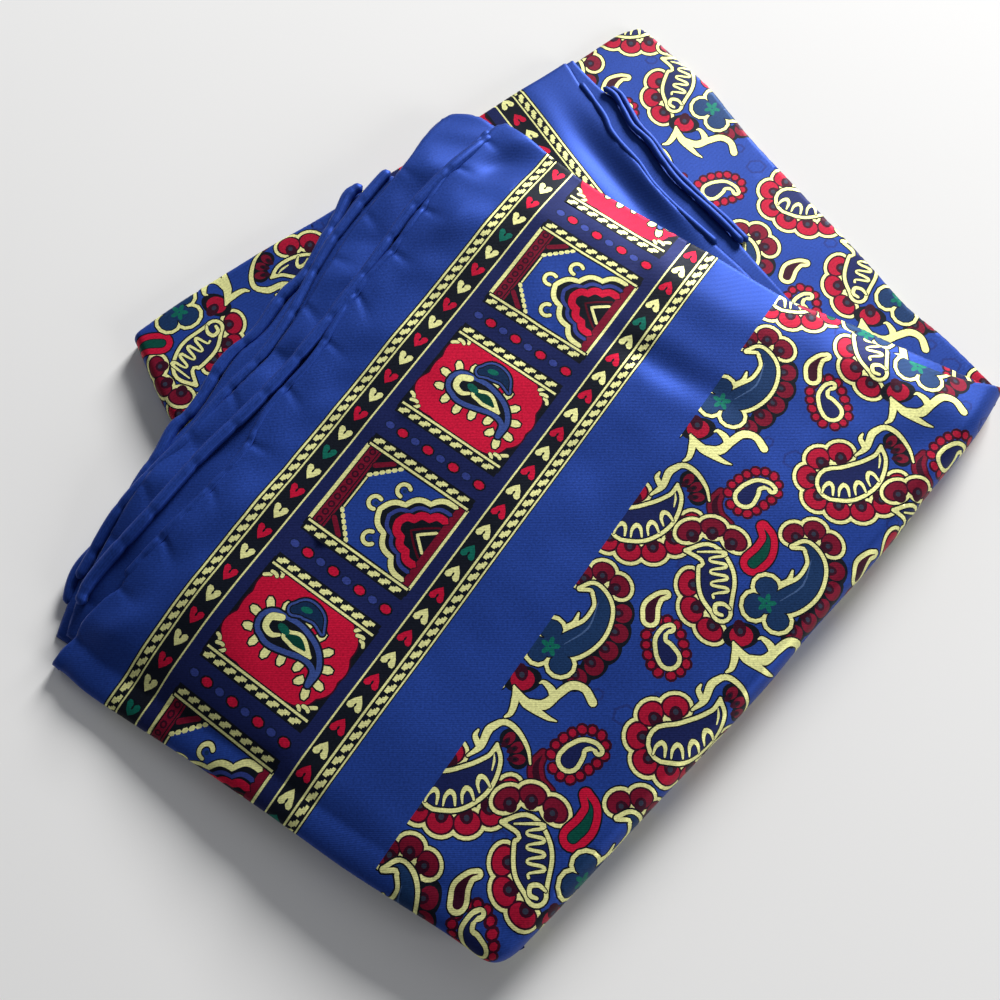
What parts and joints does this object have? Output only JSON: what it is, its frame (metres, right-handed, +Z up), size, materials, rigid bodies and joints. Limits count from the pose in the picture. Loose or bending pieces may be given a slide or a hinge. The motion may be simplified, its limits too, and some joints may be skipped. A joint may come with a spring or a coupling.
{
  "type": "folded silk neckerchief",
  "caption": "Square silk twill neckerchief with a paisley print and rolled hems, folded into a flat bundle and laid on a surface.",
  "frame": {"origin": "bottom centre of the folded bundle's box, on the surface it lies on", "axes": "+Z up out of the surface; +Y away from the near corner; +X to the right"},
  "size_m": [0.2458, 0.2613, 0.0134],
  "materials": {
    "printed_silk": "silk twill with a soft sheen, printed with a red, cream, green and navy paisley and a tiled border on blue",
    "rolled_hem": "plain blue silk twill, rolled and hand sewn"
  },
  "bodies": {
    "root": {"top_pair": "printed_silk", "second_pair": "printed_silk", "folded_core": "printed_silk", "border_pair": "printed_silk", "under_border": "printed_silk", "facing_pair": "printed_silk", "under_pair": "printed_silk", "top_hem": "rolled_hem", "core_hem": "rolled_hem", "border_hem_1": "rolled_hem", "border_hem_2": "rolled_hem", "border_hem_3": "rolled_hem"}
  },
  "joints": []
}
